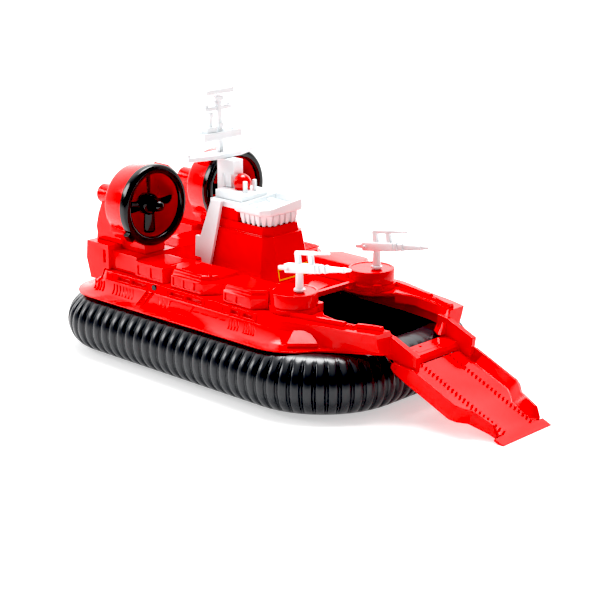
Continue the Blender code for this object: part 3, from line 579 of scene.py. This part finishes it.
def gun(side):
    """Bars along X, pitched about Y, above a post and collar turned about Z."""
    foot = JOINTS[f"gun_{side}_turn"]
    # Grip, receiver, barrel, its three bands, the cross handle, the rail and its two stays.
    parts = (
        [(-24.2, 0, 1.0, 1.0), (-23.6, 0, 1.8, 1.8), (-16.0, 0, 1.9, 2.0), (-15.0, 0, 2.6, 2.6)],
        [(-15.5, 0, 3.0, 3.0), (-14.6, 0, 3.6, 4.0), (20.6, 0, 3.6, 3.8), (21.6, 0, 2.8, 3.0)],
        [(20.0, 0, 2.8, 3.2), (50.0, 0, 1.9, 2.0), (57.6, 0, 1.4, 1.4), (58.8, 0, 0.8, 0.8)],
        [(23.0, 0, 3.4, 3.7), (25.2, 0, 3.4, 3.7)], [(30.0, 0, 3.2, 3.4), (31.8, 0, 3.2, 3.4)],
        [(49.6, 0, 2.3, 2.3), (52.0, 0, 2.3, 2.3)],
        [(-12.6, 0, 4.8, 1.3), (-10.2, 0, 4.8, 1.3)],
        [(-2.4, 13.2, 1.0, 1.0), (-1.8, 13.2, 1.8, 1.7), (18.0, 13.2, 1.9, 1.8),
         (19.0, 13.2, 1.5, 1.5), (36.0, 13.2, 1.0, 1.0), (37.4, 13.2, 0.5, 0.5)],
        [(-2.4, 7.6, 1.8, 6.4), (1.8, 7.6, 1.8, 6.4)],
        [(12.8, 7.6, 1.7, 6.2), (17.0, 7.6, 1.7, 6.2)])
    points, faces = together(*(bar(stations, 1.1) for stations in parts))
    c, s = cos(GUN_PITCH), sin(GUN_PITCH)
    pitched = (points / MM) @ np.array([[c, 0, s], [0, 1, 0], [-s, 0, c]])
    points = pitched + foot + [0, 0, GUN_RISE]
    post = [(0.2, 0), (0.2, 4.7), (0.5, 5.0), (2.0, 5.0), (2.4, 4.6), (2.6, 3.6), (19.0, 3.1),
            (19.5, 0)]
    points, faces = together((points * MM, faces), turned(post, foot, "z", 36))
    piece(f"gun_body_{side}", points, faces, white_satin, body=f"gun_{side}",
          slot="white_plastic", replaces=[f"gun_{side}"], smooth=35)


for side, sign in SIDES:
    gun_base(side, sign)
    gun(side)
print("the guns point up by", round(degrees(GUN_PITCH), 1), "degrees")

# %% [markdown]
# ## Raised work on the sides
# The sloping panels along the hull carry louvres, dashes and a ladder, and the upright strip
# above them carries window frames. All of it is thin raised bars: a trapezoid section carried
# along a short path on the panel. A panel is a flat patch given by an origin and two
# directions, so a path is just a list of (along, up) pairs.

# %% Panels and the bars that lie on them
SLOPE_LOW, SLOPE_HIGH = np.array([0.0, 94.0, 55.2]), np.array([0.0, 82.5, 64.0])
STRIP_LOW, STRIP_HIGH = np.array([0.0, 82.5, 64.0]), np.array([0.0, 80.0, 72.0])


def panel(low, high, sign):
    """Origin, up direction and outward normal of the flat patch between two edges along X."""
    flip = np.array([1.0, sign, 1.0])
    up = (high - low) / np.linalg.norm(high - low)
    normal = np.array([0.0, up[2], -up[1]])
    return low * flip, up * flip, normal * flip


def ridge(patch, path, half, tall, closed=False):
    """Trapezoid section (half width, height) along a path of (x, up) pairs on a patch."""
    origin, up, normal = patch
    path = np.asarray(path, float)
    if closed:
        step = np.roll(path, -1, 0) - path
        before, after = np.roll(step, 1, 0), step
    else:
        step = np.diff(path, axis=0)
        before, after = np.vstack([step[:1], step]), np.vstack([step, step[-1:]])
    before = before / np.linalg.norm(before, axis=1)[:, None]
    after = after / np.linalg.norm(after, axis=1)[:, None]
    mean = before + after
    mean /= np.linalg.norm(mean, axis=1)[:, None]
    mitre = half / np.clip((mean * after).sum(1), 0.5, 1)
    side = np.stack([-mean[:, 1], mean[:, 0]], 1) * mitre[:, None]
    rows = []
    for across, height in ((-1, -0.3), (-1, 0.55 * tall), (-0.6, tall), (0.6, tall),
                           (1, 0.55 * tall), (1, -0.3)):
        flat = path + across * side
        rows.append(origin + flat[:, :1] * [1, 0, 0] + flat[:, 1:] * up + height * normal)
    points = np.stack(rows, 1)
    faces = grid_faces(len(path), 6, wrap_rows=closed)
    if closed:
        return points.reshape(-1, 3) * MM, faces
    return capped(points.reshape(-1, 3) * MM, faces, 6)


# %% Louvres, dashes, ladder and frames
LOUVRES = ((-193.0, -180.0, 4), (-167.6, -140.0, 7), (-106.5, -93.3, 3), (-17.5, -5.4, 4),
           (0.6, 13.7, 5))
DASHES = ((-62.5, -55.0), (-52.0, -44.0), (-41.0, -32.5), (-29.5, -22.5))
FRAMES = ((-176.0, -128.0, (-150.1,)), (-101.7, -54.2, (-77.7,)), (-31.7, 9.4, (-21.9, -10.6)))
LOUVRE_LEAN, LOUVRE_BOW = 3.4, 1.1
LADDER = (-126.3, -119.7)
PLATE = (-92.5, -64.5)


def side_details(side, sign):
    """All raised bars of one side; a louvre's path is x + lean (1 - 2 t) + bow sin(pi t)."""
    slope = panel(SLOPE_LOW, SLOPE_HIGH, sign)
    strip = panel(STRIP_LOW, STRIP_HIGH, sign)
    rise = float(np.linalg.norm(SLOPE_HIGH - SLOPE_LOW))
    t = np.linspace(0, 1, 7)
    parts = []
    for x0, x1, count in LOUVRES:
        for x in np.linspace(x0 + 0.8, x1 - 0.8, count):
            along = x + LOUVRE_LEAN - 2 * LOUVRE_LEAN * t + LOUVRE_BOW * np.sin(pi * t)
            parts.append(ridge(slope, np.stack([along, rise * (0.16 + 0.66 * t)], 1),
                               0.75, 0.6))
    for x0, x1 in DASHES:
        parts.append(ridge(slope, [(x0, rise * 0.62), (x1, rise * 0.62)], 0.7, 0.45))
    for x in LADDER:
        parts.append(ridge(slope, [(x, -3.5), (x, rise)], 0.6, 1.5))
    for up in np.linspace(-2.4, rise - 1.2, 7):
        parts.append(ridge(slope, [(x, up) for x in LADDER], 0.5, 1.1))
    x0, x1 = PLATE
    parts.append(ridge(slope, [(x0, rise * 0.12), (x1, rise * 0.12), (x1, rise * 0.88),
                               (x0, rise * 0.88)], 0.5, 0.4, True))
    for x0, x1, posts in FRAMES:
        parts.append(ridge(strip, [(x0, 1.3), (x1, 1.3), (x1, 6.7), (x0, 6.7)], 0.8, 0.6, True))
        parts += [ridge(strip, [(x, 1.3), (x, 6.7)], 0.9, 0.6) for x in posts]
    points, faces = together(*parts)
    piece(f"side_relief_{side}", points, faces, red_gloss, slot="red_plastic", smooth=20)
    return len(parts)


for side, sign in SIDES:
    print(side, "raised bars:", side_details(side, sign))

# %% [markdown]
# ## The fore deck
# Along the hold runs a raised rail in two lengths, with three small steps between them and a
# fine bead at the hold's edge. The same trapezoid bars do for these, laid on the flat deck.
# A flat facet marks the corner of the hull, and a black disc on the side strip stands in for a
# small round port: painted shade in place of its opening.

# %% Rails, steps, facet and the port's painted shade
DECK_TOP = 72.0
RAILS = (((36, 66), (60, 61.5), (87, 55.5)), ((97, 51.8), (109, 46.8), (118, 44.5)))
BEAD = ((54, 46), (76, 50.6), (98, 47.2), (117, 41.2))
FACET = np.array([[51.9, -79.9, 66.4], [61.3, -71.0, 66.5], [74.8, -75.1, 58.8],
                  [56.1, -92.8, 58.8]])
FACET_DEPTH = 10.0
PORT = [-118.7, 0, 68.5]


def facet(sign):
    """The four corners of the flat top and, 10 mm under it, of the foot: a closed block."""
    normal = np.cross(FACET[3] - FACET[0], FACET[1] - FACET[0])
    normal = normal / np.linalg.norm(normal)
    rows = np.stack([FACET, FACET - normal * FACET_DEPTH]) * [1, -sign, 1]
    return capped(rows.reshape(-1, 3) * MM, grid_faces(2, 4), 4)


def fore_deck(side, sign):
    """The rails and the bead, the steps as blocks, and the facet, in one mesh."""
    deck = (np.array([0.0, 0.0, DECK_TOP]), np.array([0.0, sign, 0.0]), np.array([0.0, 0.0, 1.0]))
    parts = [ridge(deck, path, 2.5, 3.8) for path in RAILS]
    parts.append(ridge(deck, BEAD, 0.8, 0.8))
    steps = [(x, sign * (74.7 - 0.23 * x), DECK_TOP + 0.8) for x in (89.2, 92.0, 94.8)]
    parts += [blocks(steps, (0.7, 2.6, 1.4)), facet(sign)]
    points, faces = together(*parts)
    piece(f"fore_deck_rails_{side}", points, faces, red_gloss, slot="red_plastic", smooth=20,
          bevel=0.3)


def port_painted_shade(side, sign):
    """A black disc 1.3 mm deep, painted shade for the port's opening: (along, radius) turned
    about X, then X and Y change places.
    """
    points, faces = turned([(-81.7, 0), (-81.7, 2.6), (-81.4, 2.9), (-80.4, 2.9), (-80.4, 0)],
                           (0, 0, 0), sides=32)
    points = points[:, [1, 0, 2]] * [1, -sign, 1] + np.array(PORT) * MM
    # The black disc stands for the shade inside the port's opening: painted shade.
    piece(f"side_port_{side}", points, faces, fan_black, slot="black_plastic", smooth=30)


for side, sign in SIDES:
    fore_deck(side, sign)
    port_painted_shade(side, sign)
print("the facet's lower edge, mm:", round(float(np.linalg.norm(FACET[2] - FACET[3])), 1))

# %% [markdown]
# The sill is the sloped lip in front of the hold, where the ramp hangs. It carries a raised
# plate, two short bars and a round stud, all leaning with it.

# %% The sill's fittings
def sill_plate():
    """A raised plate, two bars and a round stud on the sill between the cheeks."""
    lean = radians(12.8)
    axes = [[cos(lean), 0, -sin(lean)], [0, 1, 0], [sin(lean), 0, cos(lean)]]
    spots = [(127.0, 2.0, 49.3), (123.4, -24.0, 50.1), (123.4, -18.0, 50.1)]
    halves = [(3.6, 15.0, 0.45), (0.7, 2.2, 0.45), (0.7, 2.2, 0.45)]
    stud = turned([(49.6, 0), (49.6, 1.5), (50.9, 1.5), (51.1, 1.2), (51.1, 0)],
                  (123.0, -2.0, 0), "z", 24)
    points, faces = together(blocks(spots, halves, axes), stud)
    piece("sill_plate", points, faces, red_gloss, slot="red_plastic", smooth=20, bevel=0.2)


sill_plate()

# %% [markdown]
# ## The aft grilles
# The flat tops of the stern block, the locker and the house beside the tower carry rows of
# low slats, which break up their reflections.

# %% Grilles
GRILLES = (("stern", np.linspace(-181.0, -153.0, 10), 15.0, 11.0, 89.7),
           ("locker", np.linspace(-146.0, -116.0, 11), 58.4, 15.5, 87.2),
           ("house", np.linspace(-93.0, -59.0, 12), 57.5, 12.5, 89.2))


def grille(side, sign, name, along, middle, half, height):
    """Slats across a top, 1.2 mm wide and standing 0.8 mm up, one at each place along it."""
    slats = [(x, sign * middle, height) for x in along]
    points, faces = blocks(slats, (0.6, half, 0.6))
    piece(f"{name}_grille_{side}", points, faces, red_gloss, slot="red_plastic", smooth=20,
          bevel=0.2)


for side, sign in SIDES:
    for name, along, middle, half, height in GRILLES:
        grille(side, sign, name, along, middle, half, height)
print("slats a side:", sum(len(along) for _, along, *_ in GRILLES))

# %% [markdown]
# ## The bridge front
# Under the roof the bridge is a white comb: tapered slats with gaps between them, so that the
# windows read as a row of slots. A plain white core stands behind. Each slat is a small block
# whose lower end is narrower, set out at equal steps along the three outer walls.

# %% Slats round the bridge, in front of a core
COMB = np.array([[-69.0, -20.6], [-44.3, -20.6], [-36.6, -14.2], [-36.6, 14.2], [-44.3, 20.6],
                 [-69.0, 20.6]])


def comb(low=126.2, high=136.3, pitch=6.6):
    """Tapered teeth: each is lofted from a narrow foot to a broad head that leans out."""
    parts = []
    levels = ((low, 1.2, 0.2, 1.0), (low + 1.2, 1.5, 0.7, 1.8), (high - 3.4, 2.3, 1.9, 3.0),
              (high, 2.6, 2.0, 3.2))
    for a, b in zip(COMB, COMB[1:]):
        length = float(np.linalg.norm(b - a))
        run = (b - a) / length
        out = np.array([run[1], -run[0]])
        count = max(1, round(length / pitch))
        for k in range(count):
            spot = a + run * (k + 0.5) * length / count
            rows = []
            for z, half, push, deep in levels:
                corners = ((-half, push), (half, push), (half, push - deep), (-half, push - deep))
                rows.append([(*(spot + run * u + out * v), z) for u, v in corners])
            parts.append(capped(np.array(rows).reshape(-1, 3) * MM, grid_faces(4, 4), 4))
    centre = COMB.mean(0)
    core = [[(*(centre + (xy - centre) * share), z) for xy in COMB]
            for z, share in ((127.0, 0.90), (high, 0.98))]
    parts.append(capped(np.array(core).reshape(-1, 3) * MM, grid_faces(2, 6), 6))
    return together(*parts)


points, faces = comb()
piece("bridge_comb", points, faces, white_satin, slot="white_plastic",
      replaces=["bridge_windows"], bevel=0.25)
print("comb and core, faces:", len(faces))

# %% [markdown]
# The roof over the comb is a tray with a thin rim, low at the near side and higher round the
# far one, and a few small housings stand in it.

# %% The bridge roof
ROOF = np.array([[-72.0, -26.2], [-40.5, -26.2], [-33.2, -19.6], [-33.2, 19.6], [-40.5, 26.2],
                 [-72.0, 26.2]])
RIM_TOPS = (142.4, 142.4, 143.2, 147.0, 147.0, 145.2)


def roof():
    """Four rings: outer foot, outer rim, inner rim and tray; each corner has its own height."""
    def ring(inset, heights):
        middle = ROOF.mean(0)
        reach = 1 - inset / np.abs(ROOF - middle).max(0)
        return np.column_stack([middle + (ROOF - middle) * reach, heights])
    flat = np.full(len(ROOF), 1.0)
    rims = np.array(RIM_TOPS)
    rings = [ring(1.6, 136.6 * flat), ring(0.2, 138.0 * flat), ring(0.0, 139.2 * flat),
             ring(0.0, rims), ring(1.3, rims), ring(1.5, 139.8 * flat)]
    tray = capped(np.stack(rings).reshape(-1, 3) * MM, grid_faces(6, len(ROOF)), len(ROOF))
    boxes = [((-89.7, 0, 140.15), (18.0, 21.5, 2.65)), ((-54.0, 9.0, 141.6), (2.4, 2.0, 2.4)),
             ((-46.0, -7.0, 141.2), (1.6, 1.6, 1.8)), ((-61.0, -12.0, 140.8), (3.2, 2.2, 1.4)),
             ((-40.5, 12.0, 141.4), (1.4, 4.0, 1.8)), ((-66.0, 14.0, 141.0), (2.6, 3.4, 1.6))]
    return together(tray, blocks([c for c, _ in boxes], [h for _, h in boxes]))


points, faces = roof()
piece("bridge_roof_tray", points, faces, white_satin, slot="white_plastic",
      replaces=["bridge_roof"], bevel=0.3)
print("the roof's rim rises by", round(max(RIM_TOPS) - min(RIM_TOPS), 1), "mm to the far side")

# %% [markdown]
# ## The lamp and the mast
# The lamp is a clear red dome. The mast behind it is a raked white post with a platform, a
# yard and crosspieces, all thin moulded bars, and it is built as rounded blocks.

# %% Dome, platform, yard and aerial
dome = [(150.5, 0), (150.5, 7.2), (151.2, 7.2)]
dome += [(156.0 + 8.1 * sin(radians(d)), 8.1 * cos(radians(d))) for d in range(-35, 90, 8)]
points, faces = turned(dome + [(164.1, 0)], (-88.0, 0, 0), "z", 48)
piece("lamp_dome", points, faces, lamp_clear, slot="lamp_plastic", replaces=["beacon"],
      smooth=50)

MAST_X, WING_TOP, MAST_TOP = -116.5, 180.5, 237.5
post = np.array([[-2.6, -2.2, 0], [2.6, -2.2, 0], [2.6, 2.2, 0], [-2.6, 2.2, 0]])
rake = np.array([[-4.6, -1.8, 0], [-0.4, -1.8, 0], [-0.4, 1.8, 0], [-4.6, 1.8, 0]])
shaft = np.concatenate([post + [MAST_X, 0, WING_TOP + 0.3], rake + [MAST_X, 0, MAST_TOP - 1]])
bars = [((-117.5, 0, 194.0), (6.2, 23.0, 1.5)), ((-111.9, 0, 197.0), (0.6, 23.0, 2.4)),
        ((-123.1, 0, 197.0), (0.6, 23.0, 2.4)), ((-117.5, -22.4, 197.0), (5.4, 0.6, 2.4)),
        ((-117.5, 22.4, 197.0), (5.4, 0.6, 2.4)),
        ((-119.5, 0, 219.8), (2.4, 15.5, 1.7)), ((-119.5, -13.5, 222.2), (1.6, 1.2, 1.8)),
        ((-119.5, 13.5, 222.2), (1.6, 1.2, 1.8)),
        ((-119.5, 0, 228.6), (3.2, 5.2, 2.0)), ((-119.5, 0, 235.3), (4.8, 16.5, 2.2)),
        ((-119.3, 0, 231.8), (2.4, 3.4, 3.0)), ((-119.5, 0, 224.5), (1.8, 3.6, 1.2)),
        ((-117.5, -12.0, 199.2), (4.2, 6.0, 5.0)), ((-117.6, -10.2, 209.6), (1.3, 1.3, 7.0)),
        ((-117.6, -10.2, 214.6), (2.0, 2.0, 2.2)), ((-117.5, 0, 197.6), (3.2, 3.4, 3.6)),
        ((-116.8, 0, 204.5), (2.7, 2.7, 2.2)),
        ((-116.2, -40.2, 182.0), (2.8, 1.0, 1.8)), ((-116.2, 40.2, 182.0), (2.8, 1.0, 1.8))]
points, faces = together(capped(shaft * MM, grid_faces(2, 4), 4),
                         blocks([c for c, _ in bars], [h for _, h in bars]))
piece("mast_fittings", points, faces, white_satin, slot="white_plastic",
      replaces=["mast_post"], bevel=0.4)
print("mast fittings:", len(bars), "bars, top at", MAST_TOP, "mm")

# %% [markdown]
# ## The label
# A small label with a yellow frame is stuck low on the front of the tower. It is blank.
# It is a thin printed film that leans with the tower's face. Its frame is four thin strips
# laid on the sheet, so that the line is a shape and not a change of colour.

# %% A thin sheet on the tower's sloped face
def face_x(z):
    """The tower's front face: X falls from -24.0 at z 79.2 to -31.5 at z 118.5."""
    return -24.0 - (z - 79.2) * 7.5 / 39.3


LABEL = {"low": 79.9, "high": 91.2, "half": 19.3, "thick": 0.18, "edge": 0.55, "line": 0.65}
label_red = moulded_plastic("label_film_red", "F01208", "E81006", 0.25, 14, 0.02, 1.0, 0.004)
label_yellow = moulded_plastic("label_ink_yellow", "FFEE3C", "FCE430", 0.25, 14, 0.02, 1.0, 0.004)


def label():
    """The sheet and, 0.1 mm proud of it, four strips that make the printed frame."""
    lean = np.array([face_x(LABEL["high"]) - face_x(LABEL["low"]), 0.0,
                     LABEL["high"] - LABEL["low"]])
    tall = float(np.linalg.norm(lean))
    up = lean / tall
    out = np.array([up[2], 0.0, -up[0]])
    axes = [[0, 1, 0], up, out]
    middle = np.array([face_x(LABEL["low"]), 0.0, LABEL["low"]]) + up * tall / 2
    sheet = blocks([middle + out * (LABEL["thick"] / 2 + 0.02)],
                   [LABEL["half"], tall / 2, LABEL["thick"] / 2], axes)
    piece("tower_label", *sheet, label_red, slot="red_plastic")
    half, line = LABEL["half"] - LABEL["edge"], LABEL["line"]
    high = tall / 2 - LABEL["edge"]
    proud = middle + out * (LABEL["thick"] + 0.05)
    strips = together(*(blocks([proud + up * sign * (high - line)], [half, line, 0.07], axes)
                        for _, sign in SIDES),
                      *(blocks([proud + [0, sign * (half - line), 0]],
                               [line, high - 2 * line, 0.07], axes) for _, sign in SIDES))
    piece("tower_label_frame", *strips, label_yellow, slot="red_plastic")


label()
print("label, mm:", 2 * LABEL["half"], "wide")

# %% [markdown]
# ## The floor and the light
# The photograph was taken on a white table in front of a white backdrop, under soft lights.
# Flat decks mirror the backdrop at a shallow angle and turn pale, while the upright sides
# mirror the dim room behind the camera and keep their pure red. So the world is bright towards
# the backdrop and overhead, and dim elsewhere. The table glows a little, as a lit table does,
# so that it stays white in the picture.

# %% Floor
STAGE = {"room": 0.12, "backdrop": 2.50, "ceiling": 0.80, "horizon": 0.45, "table": 0.48,
         "overhead": 22.0, "left": 9.0, "black": 0.032, "white": 0.94}
floor_points = np.array([[-4, -4, 0], [4, -4, 0], [4, 4, 0], [-4, 4, 0]]) - [0, 0, 0.0002]
floor_mesh = bpy.data.meshes.new("table")
floor_mesh.from_pydata(floor_points.tolist(), [], [[0, 1, 2, 3]])
floor_paint = moulded_plastic("white_table_laminate", "DDDDDD", "DADADA", 0.5,
                              60, 0.0, 2.0, 0.0, specular=0.0)
glow = floor_paint.node_tree.nodes["Principled BSDF"]
glow.inputs["Emission Color"].default_value = (1, 1, 1, 1)
glow.inputs["Emission Strength"].default_value = STAGE["table"]
floor_mesh.materials.append(floor_paint)
table = bpy.data.objects.new("table", floor_mesh)
bpy.context.scene.collection.objects.link(table)
print("table glow:", STAGE["table"])

# %% World: bright behind and above
world = bpy.data.worlds.new("soft_studio")
world.use_nodes = True
sky = world.node_tree
sky.nodes.clear()
heading = add(sky, "ShaderNodeTexCoord").outputs["Generated"]
behind = add(sky, "ShaderNodeVectorMath", {"operation": "DOT_PRODUCT"})
behind.inputs[1].default_value = (-0.69, 0.72, 0.10)
sky.links.new(heading, behind.inputs[0])
backdrop = add(sky, "ShaderNodeMapRange",
               {"interpolation_type": "SMOOTHSTEP", "From Min": 0.25, "From Max": 0.75,
                "To Min": STAGE["room"], "To Max": STAGE["backdrop"]},
               Value=behind.outputs["Value"])
height = add(sky, "ShaderNodeSeparateXYZ", Vector=heading).outputs["Z"]
ceiling = add(sky, "ShaderNodeMapRange",
              {"interpolation_type": "SMOOTHSTEP", "From Min": 0.55, "From Max": 0.95,
               "To Min": 0.0, "To Max": STAGE["ceiling"]}, Value=height)
horizon = add(sky, "ShaderNodeMapRange",
              {"interpolation_type": "SMOOTHSTEP", "From Min": 0.08, "From Max": 0.28,
               "To Min": STAGE["horizon"], "To Max": 0.0}, Value=height)
upper = add(sky, "ShaderNodeMath", {"operation": "ADD"})
sky.links.new(backdrop.outputs["Result"], upper.inputs[0])
sky.links.new(ceiling.outputs["Result"], upper.inputs[1])
total = add(sky, "ShaderNodeMath", {"operation": "ADD"})
sky.links.new(upper.outputs["Value"], total.inputs[0])
sky.links.new(horizon.outputs["Result"], total.inputs[1])
dome_light = add(sky, "ShaderNodeBackground", Strength=total.outputs["Value"])
add(sky, "ShaderNodeOutputWorld", Surface=dome_light.outputs["Background"])
bpy.context.scene.world = world
print("world nodes:", len(sky.nodes))


# %% Soft boxes
def softbox(name, spot, target, width, height, watts):
    """A rectangular area light that points from its spot at a target."""
    data = bpy.data.lights.new(name, "AREA")
    data.shape = "RECTANGLE"
    data.size, data.size_y, data.energy = width, height, watts
    lamp = bpy.data.objects.new(name, data)
    lamp.location = spot
    lamp.rotation_euler = (Vector(target) - Vector(spot)).to_track_quat("-Z", "Y").to_euler()
    bpy.context.scene.collection.objects.link(lamp)


softbox("overhead_light", (-0.25, 0.25, 1.3), (0, 0, 0.05), 0.8, 0.6, STAGE["overhead"])
softbox("left_light", (-1.08, -0.80, 0.78), (-0.15, 0, 0.12), 0.6, 0.5, STAGE["left"])
print("lights:", len(bpy.data.lights))

# %% [markdown]
# The picture is finished like a catalogue photograph: a standard view, with the darkest
# tones pressed to black and the brightest to white.

# %% View
view = bpy.context.scene.view_settings
view.view_transform = "Standard"
view.use_curve_mapping = True
view.curve_mapping.black_level = (STAGE["black"],) * 3
view.curve_mapping.white_level = (STAGE["white"],) * 3
view.curve_mapping.update()
print("view:", view.view_transform, "black at", STAGE["black"], "white at", STAGE["white"])
